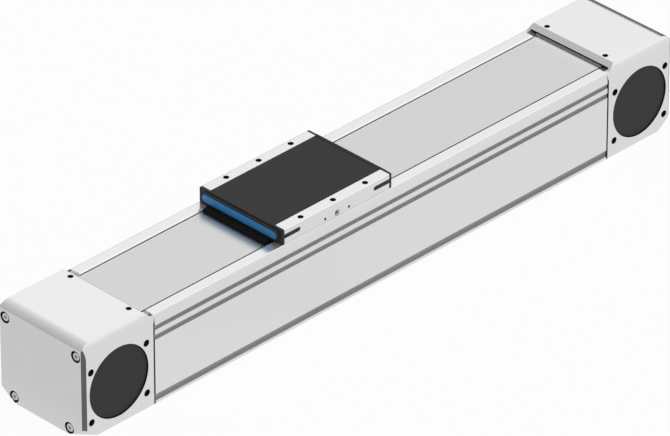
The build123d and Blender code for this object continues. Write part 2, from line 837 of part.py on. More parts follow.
with BuildPart() as carriage_body:
    box_between(
        (carriage_left, -carriage_half, carriage_bottom),
        (carriage_right, carriage_half, carriage_top),
    )
    top_edges = carriage_body.edges().filter_by(Axis.X).group_by(Axis.Z)[-1]
    fillet(top_edges, carriage_edge_radius)
    box_between(
        (carriage_left, -neck_half, block_top), (carriage_right, neck_half, carriage_bottom)
    )
    with BuildSketch(Plane.XZ):
        above_strip(
            -2 * running_gap,
            carriage_left - carriage_length,
            carriage_right + carriage_length,
            carriage_top + running_gap,
        )
    extrude(amount=channel_half, both=True, mode=Mode.SUBTRACT)
    box_between(
        (carriage_left, -cover_half, cover_seat),
        (carriage_right, cover_half, carriage_top),
        Mode.SUBTRACT,
    )
    mount_seats = seats_on(Plane.XY.offset(carriage_top), mount_hole_points)
    bore(mount_seats, mount_hole_radius, mount_hole_depth)
    # Slots in the flanks for the tongues of the end covers
    for side in (-1, 1):
        with BuildSketch(flank_plane(side, 0)):
            slot_from_end(side, -1, carriage_left, 0)
            slot_from_end(side, 1, carriage_right, 0)
        extrude(amount=side_slot_depth, mode=Mode.SUBTRACT)
    bore(flank_seats([(0, lube_z)]), lube_radius + slip_gap, lube_depth)
    bore(flank_seats([(0, lube_z)]), lube_bore_radius, lube_bore_depth)
    side_holes = [(-side_hole_pitch / 2, lube_z), (side_hole_pitch / 2, lube_z)]
    bore(flank_seats(side_holes), side_hole_radius, side_hole_depth)
    # Screws of the block from above, screws of the belt clamps from below
    deck_seats = seats_on(Plane.XY.offset(carriage_top), block_screw_points)
    bore(deck_seats, block_counterbore, carriage_top - block_top - block_head_seat)
    bore(deck_seats, block_screw_radius + slip_gap, carriage_top - block_top)
    with Locations(*seats_on(Plane.XY.offset(block_top), clamp_screw_points)):
        Cylinder(
            clamp_screw_radius + slip_gap,
            clamp_screw_grip + thread_runout,
            align=on_seat,
            mode=Mode.SUBTRACT,
        )
    # Pockets of the magnets that the position sensors read
    bore(magnet_seats, magnet_pocket_radius, magnet_pocket_depth)
save(carriage_body.part, "carriage_body")

# Cover plate over the strip, on the ledges between the rails
with BuildPart() as carriage_cover:
    plate_half = cover_half - cover_gap
    box_between(
        (carriage_left, -plate_half, cover_seat), (carriage_right, plate_half, cover_top)
    )
save(carriage_cover.part, "carriage_cover")

# End cover: plate, tongues along the flanks and a bar with a recess for the stripe
cover_face = carriage_right + end_cover_thickness
bar_face = cover_face + bar_thickness
bar_height = bar_span[1] - bar_span[0]
with BuildPart() as end_cover_right:
    box_between(
        (carriage_right, -carriage_half, carriage_bottom),
        (cover_face, carriage_half, carriage_top),
    )
    upright = end_cover_right.edges().filter_by(Axis.X).group_by(Axis.Z)[-1]
    fillet(upright, carriage_edge_radius)
    with BuildSketch(Plane.YZ.offset(cover_face)):
        with Locations((0, sum(bar_span) / 2)):
            SlotOverall(2 * bar_half, bar_height)
    extrude(amount=bar_thickness)
    with BuildSketch(Plane.YZ.offset(bar_face)):
        with Locations((0, stripe_z)):
            SlotOverall(2 * (stripe_half + stripe_gap), stripe_height + 2 * stripe_gap)
    extrude(amount=-stripe_depth, mode=Mode.SUBTRACT)
    for side in (-1, 1):
        with BuildSketch(flank_plane(side, slip_gap)):
            slot_from_end(side, 1, carriage_right, cover_gap)
        extrude(amount=side_slot_depth - cover_gap)
save_both(end_cover_right.part, "end_cover", carriage_rest_x)

with BuildPart() as end_stripe_right:
    with BuildSketch(Plane.YZ.offset(bar_face)):
        with Locations((0, stripe_z)):
            SlotOverall(2 * stripe_half, stripe_height)
    extrude(amount=-stripe_depth)
save_both(end_stripe_right.part, "end_stripe", carriage_rest_x)

# Slider that lays the strip down again at the carriage's end
with BuildPart() as strip_deflector_right:
    with BuildSketch(Plane.XZ):
        above_strip(
            strip_thickness + cover_gap,
            carriage_left - carriage_length,
            carriage_right + carriage_length,
            cover_seat,
        )
        with Locations((carriage_right - deflector_length / 2, cover_seat)):
            Rectangle(deflector_length, axis_width, mode=Mode.INTERSECT)
    extrude(amount=strip_half, both=True)
save_both(strip_deflector_right.part, "strip_deflector", carriage_rest_x)


def block_saddle(inset):
    """Section of the guide block in the YZ sketch, open below, round the rail."""
    with Locations((0, (block_bottom + block_top) / 2)):
        Rectangle(block_width - 2 * inset, block_top - block_bottom - 2 * inset)
    opening_top = rail_top + running_gap
    with Locations((0, (block_bottom + opening_top) / 2)):
        Rectangle(
            rail_width + 2 * running_gap, opening_top - block_bottom, mode=Mode.SUBTRACT
        )


# Guide block: steel body with tracks that reach into the rail's grooves, and end caps
steel_half = block_length / 2 - block_end_cap
track_y = rail_width / 2 + 1
with BuildPart() as guide_block:
    with BuildSketch(Plane.YZ.offset(carriage_rest_x)):
        block_saddle(0)
        with Locations(
            (-track_y, rail_base + rail_groove_z), (track_y, rail_base + rail_groove_z)
        ):
            Circle(rail_groove_radius - running_gap)
    extrude(amount=steel_half, both=True)
    chamfer(guide_block.edges().filter_by(Axis.X).group_by(Axis.Z)[-1], block_chamfer)
    bore(
        seats_on(Plane.XY.offset(block_top), block_screw_points),
        block_screw_radius + slip_gap,
        block_thread_depth,
    )
save(guide_block.part, "guide_block")

with BuildPart() as block_end_cap_right:
    with BuildSketch(Plane.YZ.offset(carriage_rest_x + steel_half)):
        block_saddle(running_gap)
    extrude(amount=block_end_cap)
    chamfer(block_end_cap_right.edges().filter_by(Axis.X).group_by(Axis.Z)[-1], block_chamfer)
save_both(block_end_cap_right.part, "block_end_cap", carriage_rest_x)

with BuildPart() as block_screws:
    socket_screws(
        seats_on(Plane.XY.offset(block_top + block_head_seat), block_screw_points),
        block_screw_head,
        block_screw_radius,
        block_head_seat + block_screw_grip,
    )
save(block_screws.part, "block_screws")


# Belt clamps: toothed plates under the belt's ends, screwed to the neck from below
clamp_recess_depth_z = clamp_screw_head[1] + slip_gap
clamp_seat_z = clamp_bottom + clamp_recess_depth_z
clamp_channel = belt_width / 2 + running_gap
clamp_plate_z = upper_run_z - belt_land_depth - mesh_gap


def clamp_seats(height):
    """Seats of the clamp screws at a height, facing down."""
    facing_down = Plane(origin=(0, 0, height), x_dir=(1, 0, 0), z_dir=(0, 0, -1))
    return seats_on(facing_down, clamp_screw_points)


def belt_clamp_shape(end):
    """One clamp, at the -X end or the +X end of the carriage."""
    middle = carriage_rest_x + end * clamp_middle
    with BuildPart() as shape:
        with BuildSketch(Plane.XZ):
            with Locations((middle, (clamp_bottom + clamp_plate_z) / 2)):
                Rectangle(clamp_length, clamp_plate_z - clamp_bottom)
            with Locations(*clamped_places):
                tooth_shape(mesh_gap, Mode.SUBTRACT)
        extrude(amount=clamp_channel, both=True)
        shoulder_y = (clamp_channel + clamp_half) / 2
        with Locations((middle, -shoulder_y, clamp_bottom), (middle, shoulder_y, clamp_bottom)):
            Box(clamp_length, clamp_half - clamp_channel, block_top - clamp_bottom, align=on_seat)
        bore(clamp_seats(clamp_bottom), clamp_counterbore, clamp_recess_depth_z)
        bore(clamp_seats(clamp_bottom), clamp_screw_radius + slip_gap, block_top - clamp_bottom)
    return shape.part


belt_clamp_left = belt_clamp_shape(-1)
save(belt_clamp_left, "belt_clamp_left")
belt_clamp_right = belt_clamp_shape(1)
save(belt_clamp_right, "belt_clamp_right")

with BuildPart() as belt_clamp_screws:
    socket_screws(
        clamp_seats(clamp_seat_z),
        clamp_screw_head,
        clamp_screw_radius,
        block_top - clamp_seat_z + clamp_screw_grip,
    )
save(belt_clamp_screws.part, "belt_clamp_screws")

# Magnets for the position sensors, in the sides of the neck
with BuildPart() as sensor_magnets:
    with Locations(*magnet_seats):
        Cylinder(
            magnet_pocket_radius - slip_gap, magnet_pocket_depth - slip_gap, align=under_seat
        )
save(sensor_magnets.part, "sensor_magnets")

# Lubrication nipples in the flanks
with BuildPart() as lube_nipples:
    with Locations(*flank_seats([(0, lube_z)])):
        Cylinder(lube_radius, lube_depth, align=under_seat)
        Cylinder(lube_bore_radius, lube_depth, align=under_seat, mode=Mode.SUBTRACT)
        Cone(
            lube_bore_radius,
            lube_radius - slip_gap,
            lube_depth / 2,
            align=under_seat,
            mode=Mode.SUBTRACT,
        )
save(lube_nipples.part, "lube_nipples")
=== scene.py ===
"""Toothed belt linear axis: finishes, detail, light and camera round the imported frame."""

import json
import math

import bmesh
import bpy
from mathutils import Matrix, Vector

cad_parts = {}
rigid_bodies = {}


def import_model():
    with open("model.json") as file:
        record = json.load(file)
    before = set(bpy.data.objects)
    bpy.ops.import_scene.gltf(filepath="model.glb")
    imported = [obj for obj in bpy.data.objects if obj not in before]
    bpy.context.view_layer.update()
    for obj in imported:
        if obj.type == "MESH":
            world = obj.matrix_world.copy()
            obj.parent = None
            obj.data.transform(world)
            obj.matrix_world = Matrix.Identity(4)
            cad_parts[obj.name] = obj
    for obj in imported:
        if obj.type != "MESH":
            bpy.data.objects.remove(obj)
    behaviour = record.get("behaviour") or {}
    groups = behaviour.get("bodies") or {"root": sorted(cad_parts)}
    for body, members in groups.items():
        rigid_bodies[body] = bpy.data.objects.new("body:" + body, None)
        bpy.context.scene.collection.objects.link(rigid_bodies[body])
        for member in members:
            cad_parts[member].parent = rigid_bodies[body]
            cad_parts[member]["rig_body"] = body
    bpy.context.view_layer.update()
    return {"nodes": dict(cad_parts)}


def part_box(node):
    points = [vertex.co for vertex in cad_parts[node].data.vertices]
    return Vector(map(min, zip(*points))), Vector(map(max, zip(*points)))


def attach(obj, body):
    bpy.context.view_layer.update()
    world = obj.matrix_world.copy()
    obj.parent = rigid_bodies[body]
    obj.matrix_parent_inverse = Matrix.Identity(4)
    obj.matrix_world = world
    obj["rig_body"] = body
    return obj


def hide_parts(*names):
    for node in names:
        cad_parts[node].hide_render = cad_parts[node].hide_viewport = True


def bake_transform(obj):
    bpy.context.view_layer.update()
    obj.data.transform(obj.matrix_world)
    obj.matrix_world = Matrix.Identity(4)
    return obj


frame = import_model()
nodes = frame["nodes"]

MM = 0.001
# Coordinates this close together, in millimetres, count as the same place
NEAR = 0.05
# Points of a CAD mesh closer than this are one
SAME_POINT = 0.0005 * MM
# Degrees between faces: one flat face up to the first, a sharp edge from the second, an edge
# that gets a bevel from the third, and neighbouring facets of a round wall between the last two
FLAT_UP_TO = 0.5
SHARP_FROM = 32
BEVEL_FROM = 50
ROUND_WALL = (2, 40)
# Shares of a face's normal along an axis: hardly any, and clearly some
HARDLY = 0.05
CLEARLY = 0.3
SIDES = ("left", "right")
OUTWARDS = {"left": -1, "right": 1}

# Places read from the frame
carriage_low, carriage_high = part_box("carriage_body")
profile_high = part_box("profile")[1]
strip_low, strip_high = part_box("cover_strip")
belt_low, belt_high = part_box("toothed_belt")
clamp_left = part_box("belt_clamp_left")
clamp_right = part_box("belt_clamp_right")
pulley_low, pulley_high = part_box("pulley_right")

# Camera fitted to the photograph: place in metres, angles in degrees
CAMERA_PLACE = Vector((-3.2466, -3.2359, 2.9115))
CAMERA_AZIMUTH = -45.022
CAMERA_ELEVATION = 32.152
CAMERA_ROLL = -0.015
CAMERA_LENS = 436.4


def linear(code):
    """Linear RGBA from an sRGB hex value."""
    values = [int(code[i : i + 2], 16) / 255 for i in (0, 2, 4)]
    low = [v / 12.92 if v <= 0.04045 else ((v + 0.055) / 1.055) ** 2.4 for v in values]
    return (*low, 1.0)


def add(tree, kind, settings=None, links=None):
    """Adds a node; settings name its sockets or its properties, links name its sockets."""
    made = tree.nodes.new(kind)
    for name, value in (settings or {}).items():
        if isinstance(name, int) or name in made.inputs:
            made.inputs[name].default_value = value
        else:
            setattr(made, name, value)
    for name, source in (links or {}).items():
        tree.links.new(source, made.inputs[name])
    return made


def finish_of(name, colour, metallic, roughness, grain=None, **sockets):
    """Material with a grain in millimetres along X, Y and Z: (size, depth, tone change)."""
    material = bpy.data.materials.new(name)
    material.use_nodes = True
    tree = material.node_tree
    shader = tree.nodes["Principled BSDF"]
    shader.inputs["Base Color"].default_value = linear(colour)
    shader.inputs["Metallic"].default_value = metallic
    shader.inputs["Roughness"].default_value = roughness
    for socket, value in sockets.items():
        shader.inputs[socket.replace("_", " ")].default_value = value
    if grain:
        size, depth, tone = grain
        place = add(tree, "ShaderNodeTexCoord")
        scale = tuple(1 / (s * MM) for s in size)
        spread = add(
            tree,
            "ShaderNodeMapping",
            {"Scale": scale},
            {"Vector": place.outputs["Object"]},
        )
        noise = add(
            tree,
            "ShaderNodeTexNoise",
            {"Scale": 1.0, "Detail": 3.0, "Roughness": 0.6},
            {"Vector": spread.outputs["Vector"]},
        )
        span = add(
            tree,
            "ShaderNodeMapRange",
            {"To Min": roughness - tone, "To Max": roughness + tone},
            {"Value": noise.outputs["Fac"]},
        )
        tree.links.new(span.outputs["Result"], shader.inputs["Roughness"])
        bump = add(
            tree,
            "ShaderNodeBump",
            {"Strength": 0.4, "Distance": depth * MM},
            {"Height": noise.outputs["Fac"]},
        )
        tree.links.new(bump.outputs["Normal"], shader.inputs["Normal"])
    return material


# Clear anodised extrusion: faint die lines along the beam, too fine to see one by one,
# so they are drawn 0.5 mm apart and only soften the reflections
extruded_aluminium = finish_of(
    "clear_anodised_extrusion", "F5F5F5", 0.88, 0.22, ((40, 0.5, 0.5), 0.001, 0.02)
)
# Clear anodised over bead blasting: an even matt grain, drawn 0.6 mm coarse to show at all
blasted_aluminium = finish_of(
    "clear_anodised_blasted", "F4F4F5", 0.88, 0.2, ((0.6, 0.6, 0.6), 0.001, 0.02)
)
# Aluminium facets milled after blasting, painted darker than the blasted faces beside them:
# painted shade and painted reflection of dark surroundings
facet_painted_shade = finish_of("aluminium_facet_painted_shade", "6E6E70", 0.7, 0.35)
# Aluminium of the side grooves and of the chamfers over the strip, painted grey: painted shade in
# the grooves and on the chamfers
groove_painted_shade = finish_of("aluminium_groove_painted_shade", "B0B0B2", 0.6, 0.45)
# Painted shade in the threads, sockets, slots and recesses of bare metal: a near black for where
# hardly any light reaches
bore_painted_shade = finish_of("metal_bore_painted_shade", "242425", 0.4, 0.6)
# Rolled stainless strip: fine grain along the axis, drawn 0.4 mm apart, and soft reflections
rolled_strip = finish_of(
    "rolled_stainless_strip", "E8E8E8", 1.0, 0.28, ((60, 0.4, 0.4), 0.00008, 0.01)
)
# Black anodised plate: dark grey with a soft sheen
black_plate = finish_of(
    "black_anodised_plate",
    "2C2C2D",
    0.0,
    0.5,
    ((30, 0.4, 0.4), 0.003, 0.04),
    Specular_IOR_Level=0.25,
)
# Moulded black ABS: a spark-eroded grain that takes the shine off
black_abs = finish_of(
    "black_moulded_abs",
    "2B2B2C",
    0.0,
    0.5,
    ((0.7, 0.7, 0.7), 0.004, 0.05),
    Specular_IOR_Level=0.25,
)
# Blue gloss ABS inlay: a clear even colour with a bright reflection
blue_abs = finish_of("blue_gloss_abs", "2C86C8", 0.0, 0.25)
# Zinc plated screws: light grey steel with a mild gloss
zinc_steel = finish_of("zinc_plated_steel", "EDEDEB", 0.6, 0.35)
# Black oxide screws and set screws: near black with a weak metal sheen
black_steel = finish_of("black_oxide_steel", "242424", 0.6, 0.45)
# Ground bearing steel: grinding lines along the axis, drawn 0.3 mm apart
ground_steel = finish_of("ground_steel", "B0B0B0", 1.0, 0.28, ((20, 0.3, 0.3), 0.002, 0.05))
# Cast polyurethane belt: off-white with a soft gloss
belt_polyurethane = finish_of("white_polyurethane", "D8D5CC", 0.0, 0.45)
# Moulded rubber of the buffers, wipers and magnet strips: black with almost no reflection. The
# same black is also painted shade on the bevel of the profile's front lip
rubber_and_painted_shade = finish_of("rubber_and_painted_shade", "0E0E0E", 0.0, 0.8, Specular_IOR_Level=0.15)
# Milled aluminium of the pulleys and belt clamps: plain light grey metal
milled_aluminium = finish_of("milled_aluminium", "C4C4C6", 0.8, 0.35)


def object_of(name, data):
    """New object at the origin that shows some data."""
    made = bpy.data.objects.new(name, data)
    bpy.context.scene.collection.objects.link(made)
    return made


def shade(mesh, angle=SHARP_FROM):
    """Smooth curved faces and keep the edges sharp."""
    for face in mesh.polygons:
        face.use_smooth = True
    mesh.set_sharp_from_angle(angle=math.radians(angle))


def copy_of(node_name, name):
    """Merged copy of a CAD node with its flat faces joined again."""
    mesh = nodes[node_name].data.copy()
    shape = bmesh.new()
    shape.from_mesh(mesh)
    bmesh.ops.remove_doubles(shape, verts=shape.verts, dist=SAME_POINT)
    bmesh.ops.dissolve_limit(
        shape, angle_limit=math.radians(FLAT_UP_TO), verts=shape.verts, edges=shape.edges
    )
    shape.to_mesh(mesh)
    shape.free()
    mesh.materials.clear()
    return object_of(name, mesh)


def dress(node_name, material, edge=0.0, angle=SHARP_FROM):
    """Shows a CAD node as a finished copy, with its edges broken by a bevel in millimetres."""
    made = copy_of(node_name, f"{node_name}_finished")
    made.data.materials.append(material)
    shade(made.data, angle)
    if edge:
        bevel = made.modifiers.new("broken_edges", "BEVEL")
        bevel.width = edge * MM
        bevel.segments = 2
        bevel.limit_method = "ANGLE"
        bevel.angle_limit = math.radians(BEVEL_FROM)
    flat = made.modifiers.new("flat_faces_stay_flat", "WEIGHTED_NORMAL")
    flat.keep_sharp = True
    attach(made, nodes[node_name]["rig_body"])
    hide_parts(node_name)
    return made


def paint(node_name, material):
    """Gives a CAD node its material where its own mesh is shown."""
    mesh = nodes[node_name].data
    mesh.materials.clear()
    mesh.materials.append(material)
    shade(mesh)


def give(piece, material, chosen):
    """Gives a material to the faces of a piece for which chosen(face) is true."""
    materials = piece.data.materials
    if material.name not in materials:
        materials.append(material)
    for face in piece.data.polygons:
        if chosen(face):
            face.material_index = materials.find(material.name)


def line_bores(piece):
    """Gives the walls and the floors of round recesses a near black painted shade."""
    piece.data.materials.append(bore_painted_shade)
    last = len(piece.data.materials) - 1
    shape = bmesh.new()
    shape.from_mesh(piece.data)
    least, most = (math.radians(angle) for angle in ROUND_WALL)
    walls = set()
    for edge in shape.edges:
        if len(edge.link_faces) == 2 and not edge.is_convex:
            if least < edge.calc_face_angle() < most:
                walls.update(edge.link_faces)
    for face in shape.faces:
        enclosed = all(walls.intersection(edge.link_faces) for edge in face.edges)
        if face in walls or enclosed:
            face.material_index = last
    shape.to_mesh(piece.data)
    shape.free()


def solids_of(node_name):
    """Lowest and highest corner of each separate solid of a CAD node."""
    shape = bmesh.new()
    shape.from_mesh(nodes[node_name].data)
    bmesh.ops.remove_doubles(shape, verts=shape.verts, dist=SAME_POINT)
    waiting = set(shape.verts)
    boxes = []
    while waiting:
        found = [waiting.pop()]
        for vertex in found:
            for edge in vertex.link_edges:
                other = edge.other_vert(vertex)
                if other in waiting:
                    waiting.remove(other)
                    found.append(other)
        low = Vector(min(v.co[axis] for v in found) for axis in range(3))
        high = Vector(max(v.co[axis] for v in found) for axis in range(3))
        boxes.append((low, high))
    shape.free()
    return sorted(boxes, key=lambda corners: tuple(corners[0]))


# Sizes of the cap screws in millimetres
SCREW_SIZES = (
    "Head Radius",
    "Head Height",
    "Shank Radius",
    "Shank Length",
    "Socket Radius",
    "Socket Depth",
    "Edge Chamfer",
)
HOUSING_SCREW = dict(zip(SCREW_SIZES, (2.9, 4.0, 2.0, 71.6, 1.6, 2.2, 0.3)))
RAIL_SCREW = dict(zip(SCREW_SIZES, (3.5, 4.0, 2.0, 13.4, 1.5, 2.0, 0.35)))
BLOCK_SCREW = dict(zip(SCREW_SIZES, (3.5, 4.0, 2.0, 9.9, 1.5, 2.0, 0.35)))
CLAMP_SCREW = dict(zip(SCREW_SIZES, (3.5, 2.6, 2.0, 13.2, 1.5, 1.8, 0.35)))
HEAD_CORNERS = 40
SHANK_CORNERS = 24


def cap_screw_tree():
    """Geometry nodes: a socket cap screw on every point, its head along the point's facing."""
    tree = bpy.data.node_groups.new("cap_screws", "GeometryNodeTree")
    sockets = tree.interface
    sockets.new_socket("Seats", in_out="INPUT", socket_type="NodeSocketGeometry")
    for name in SCREW_SIZES:
        sockets.new_socket(name, in_out="INPUT", socket_type="NodeSocketFloat")
    sockets.new_socket("Finish", in_out="INPUT", socket_type="NodeSocketMaterial")
    sockets.new_socket("Screws", in_out="OUTPUT", socket_type="NodeSocketGeometry")
    given = add(tree, "NodeGroupInput").outputs

    def lifted(geometry, height):
        """Geometry moved along Z by a height."""
        place = add(tree, "ShaderNodeCombineXYZ", links={"Z": height})
        moved = add(
            tree,
            "GeometryNodeTransform",
            links={"Geometry": geometry, "Translation": place.outputs["Vector"]},
        )
        return moved.outputs["Geometry"]

    def joined(*meshes):
        """Several meshes as one geometry."""
        made = add(tree, "GeometryNodeJoinGeometry")
        for mesh in meshes:
            tree.links.new(mesh, made.inputs[0])
        return made.outputs["Geometry"]

    side_height = add(
        tree,
        "ShaderNodeMath",
        {"operation": "SUBTRACT"},
        {0: given["Head Height"], 1: given["Edge Chamfer"]},
    )
    drum = add(
        tree,
        "GeometryNodeMeshCone",
        {"Vertices": HEAD_CORNERS},
        {
            "Radius Top": given["Head Radius"],
            "Radius Bottom": given["Head Radius"],
            "Depth": side_height.outputs["Value"],
        },
    )
    top_radius = add(
        tree,
        "ShaderNodeMath",
        {"operation": "SUBTRACT"},
        {0: given["Head Radius"], 1: given["Edge Chamfer"]},
    )
    crown = add(
        tree,
        "GeometryNodeMeshCone",
        {"Vertices": HEAD_CORNERS},
        {
            "Radius Top": top_radius.outputs["Value"],
            "Radius Bottom": given["Head Radius"],
            "Depth": given["Edge Chamfer"],
        },
    )
    raised_crown = lifted(crown.outputs["Mesh"], side_height.outputs["Value"])
    head = add(
        tree,
        "GeometryNodeMergeByDistance",
        {"Distance": 0.001 * MM},
        {"Geometry": joined(drum.outputs["Mesh"], raised_crown)},
    )
    # The hexagon stands out of the head by its own depth, so that it cuts the top face
    cutter_height = add(
        tree,
        "ShaderNodeMath",
        {"operation": "MULTIPLY", 1: 2.0},
        {0: given["Socket Depth"]},
    )
    hexagon = add(
        tree,
        "GeometryNodeMeshCone",
        {"Vertices": 6},
        {
            "Radius Top": given["Socket Radius"],
            "Radius Bottom": given["Socket Radius"],
            "Depth": cutter_height.outputs["Value"],
        },
    )
    socket_floor = add(
        tree,
        "ShaderNodeMath",
        {"operation": "SUBTRACT"},
        {0: given["Head Height"], 1: given["Socket Depth"]},
    )
    drilled = add(
        tree,
        "GeometryNodeMeshBoolean",
        {"operation": "DIFFERENCE"},
        {
            "Mesh 1": head.outputs["Geometry"],
            "Mesh 2": lifted(hexagon.outputs["Mesh"], socket_floor.outputs["Value"]),
        },
    )
    shank = add(
        tree,
        "GeometryNodeMeshCone",
        {"Vertices": SHANK_CORNERS},
        {
            "Radius Top": given["Shank Radius"],
            "Radius Bottom": given["Shank Radius"],
            "Depth": given["Shank Length"],
        },
    )
    below = add(
        tree,
        "ShaderNodeMath",
        {"operation": "MULTIPLY", 1: -1.0},
        {0: given["Shank Length"]},
    )
    screw = joined(drilled.outputs["Mesh"], lifted(shank.outputs["Mesh"], below.outputs["Value"]))
    facing = add(
        tree,
        "GeometryNodeInputNamedAttribute",
        {"data_type": "FLOAT_VECTOR", "Name": "facing"},
    )
    turned = add(
        tree,
        "FunctionNodeAlignRotationToVector",
        {"axis": "Z"},
        {"Vector": facing.outputs["Attribute"]},
    )
    placed = add(
        tree,
        "GeometryNodeInstanceOnPoints",
        links={
            "Points": given["Seats"],
            "Instance": screw,
            "Rotation": turned.outputs["Rotation"],
        },
    )
    real = add(
        tree, "GeometryNodeRealizeInstances", links={"Geometry": placed.outputs["Instances"]}
    )
    finished = add(
        tree,
        "GeometryNodeSetMaterial",
        links={"Geometry": real.outputs["Geometry"], "Material": given["Finish"]},
    )
    add(tree, "NodeGroupOutput", links={"Screws": finished.outputs["Geometry"]})
    return tree


cap_screws_tree = cap_screw_tree()


def cap_screws(node_name, facing, sizes, material):
    """Cap screws of one CAD node, their heads towards facing; sizes in millimetres."""
    facing = Vector(facing)
    axis = max(range(3), key=lambda n: abs(facing[n]))
    seats = []
    for low, high in solids_of(node_name):
        seat = (low + high) / 2
        outer = high[axis] if facing[axis] > 0 else low[axis]
        seat[axis] = outer - facing[axis] * sizes["Head Height"] * MM
        seats.append(seat)
    points = bpy.data.meshes.new(node_name)
    points.from_pydata(seats, [], [])
    directions = points.attributes.new("facing", "FLOAT_VECTOR", "POINT")
    for place in directions.data:
        place.vector = facing
    maker = object_of(node_name, points)
    modifier = maker.modifiers.new("cap_screws", "NODES")
    modifier.node_group = cap_screws_tree
    for socket in cap_screws_tree.interface.items_tree:
        if socket.name in sizes:
            modifier[socket.identifier] = sizes[socket.name] * MM
        elif socket.name == "Finish":
            modifier[socket.identifier] = material
    bpy.context.view_layer.update()
    graph = bpy.context.evaluated_depsgraph_get()
    mesh = bpy.data.meshes.new_from_object(maker.evaluated_get(graph))
    bpy.data.objects.remove(maker)
    # Painted shade: the socket's walls and floor get the near black of the bores
    mesh.materials.append(bore_painted_shade)
    for face in mesh.polygons:
        seat = min(seats, key=lambda place: (place - face.center).length)
        height = (face.center - seat).dot(facing)
        off_axis = (face.center - seat - height * facing).length
        under_top = height < (sizes["Head Height"] - sizes["Edge Chamfer"]) * MM
        if under_top and off_axis < sizes["Socket Radius"] * MM:
            face.material_index = 1
    shade(mesh)
    made = object_of(f"{node_name}_finished", mesh)
    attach(made, nodes[node_name]["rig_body"])
    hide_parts(node_name)
    return made


# Creases of this many degrees stay sharp, because the sides lean by 7.5 above the shoulder
CREASE = 6.5

# Profile, in millimetres: the floor of the side grooves, how far the upper edge of the upper
# one rises and the lower edge of the lower one drops, how deep the recesses of the sides lie,
# and where they end. The lips' inner edges lie at LIP_HALF, with a bevel LIP_BEVEL wide and high
GROOVE_FLOOR = 38.2
GROOVE_EDGES = {59.7: 0.8, 50.3: -0.8}
RECESS_DEPTHS = (0.5, 3.0)
RECESSES_END = 60.0
LIP_HALF = 29.9
LIP_BEVEL = (1.45, 0.42)


def near(coordinate, place):
    """Whether a coordinate lies at a place in millimetres, on either side of the middle."""
    return abs(abs(coordinate) - place * MM) < NEAR * MM


def widen_grooves(piece):
    """Gives the side grooves the width that the photograph shows."""
    for vertex in piece.data.vertices:
        for edge_z, widening in GROOVE_EDGES.items():
            if abs(vertex.co.y) > (GROOVE_FLOOR - NEAR) * MM and near(vertex.co.z, edge_z):
                vertex.co.z += widening * MM


def bevel_lips(piece):
    """Breaks the lips' inner edges with a flat bevel along the whole beam."""
    shape = bmesh.new()
    shape.from_mesh(piece.data)
    for side_y in (-1, 1):
        everything = list(shape.verts) + list(shape.edges) + list(shape.faces)
        bmesh.ops.bisect_plane(
            shape,
            geom=everything,
            plane_co=(0, side_y * (LIP_HALF + LIP_BEVEL[0]) * MM, 0),
            plane_no=(0, side_y, 0),
        )
    for vertex in shape.verts:
        if near(vertex.co.y, LIP_HALF) and vertex.co.z > profile_high.z - NEAR * MM:
            vertex.co.z -= LIP_BEVEL[1] * MM
    shape.to_mesh(piece.data)
    shape.free()
    shade(piece.data, CREASE)


def in_side_recess(face):
    """Faces of the side grooves and of the clamp recesses."""
    depth = (profile_high.y - abs(face.center.y)) / MM
    sunk = RECESS_DEPTHS[0] < depth < RECESS_DEPTHS[1]
    return sunk and face.center.z < RECESSES_END * MM and abs(face.normal.x) < CLEARLY


def on_front_lip_bevel(face):
    """The bevel of the lip at -Y, painted black as shade so that it joins the dark line beside
    the strip.
    """
    return 0.2 < face.normal.y < 0.4 and face.normal.z > 0.9


profile = dress("profile", extruded_aluminium, 0.2, CREASE)
widen_grooves(profile)
# Painted shade: the side grooves and clamp recesses get a grey in place of the shade inside them
give(profile, groove_painted_shade, in_side_recess)
bevel_lips(profile)
# Painted shade: the front lip's aluminium bevel gets the rubber's black
give(profile, rubber_and_painted_shade, on_front_lip_bevel)

# Housings, in millimetres outwards from the profile's end: the small chamfer at the joint,
# how far it is moved outwards, the reach of the joint's faces, and the span of the strip's
# slot, with its half width and its heights. The mouth chamfer lies above MOUTH_HEIGHT
JOINT_CHAMFER = 0.8
JOINT_WIDENING = 0.6
JOINT_REACH = 3.0
SLOT_SPAN = (0.3, 19.0)
SLOT_HALF = 29.5
SLOT_HEIGHTS = (66.3, 71.5)
MOUTH_HEIGHT = 68.5
# Smallest milled facet in square millimetres
FACET_AREA = 20.0
# Discs, in millimetres: how deep they are set and how far they and their recesses are moved
# up and grown; and how much wider than the disc its recess is, and how deep
DISC_SETBACK = 0.5
DISC_LIFT = 1.25
DISC_GROWTH = 1.01
DISC_GAP = 0.6
DISC_RECESS = 3.1


def past_profile_end(coordinate):
    """How far an X coordinate lies outwards from the profile's end, in millimetres."""
    return (abs(coordinate) - profile_high.x) / MM


def widen_joint(piece):
    """Gives the joint between housing and profile the width that the photograph shows."""
    for vertex in piece.data.vertices:
        if abs(past_profile_end(vertex.co.x) - JOINT_CHAMFER) < NEAR:
            vertex.co.x += math.copysign(JOINT_WIDENING * MM, vertex.co.x)


def milled_at_corner(face):
    """Upright facets that cut a housing's corners obliquely."""
    upright = abs(face.normal.z) < HARDLY
    oblique = abs(face.normal.x) > CLEARLY and abs(face.normal.y) > CLEARLY
    return upright and oblique and face.area > FACET_AREA * MM * MM


def out_of_light(face):
    """Facets in the joint with the profile, and the faces inside the strip's slot: they get
    painted shade.
    """
    out = past_profile_end(face.center.x)
    in_joint = milled_at_corner(face) and out < JOINT_REACH
    across = abs(face.center.y) < SLOT_HALF * MM and SLOT_SPAN[0] < out < SLOT_SPAN[1]
    in_slot = across and SLOT_HEIGHTS[0] * MM < face.center.z < SLOT_HEIGHTS[1] * MM
    return in_joint or (in_slot and face.normal.z < CLEARLY)


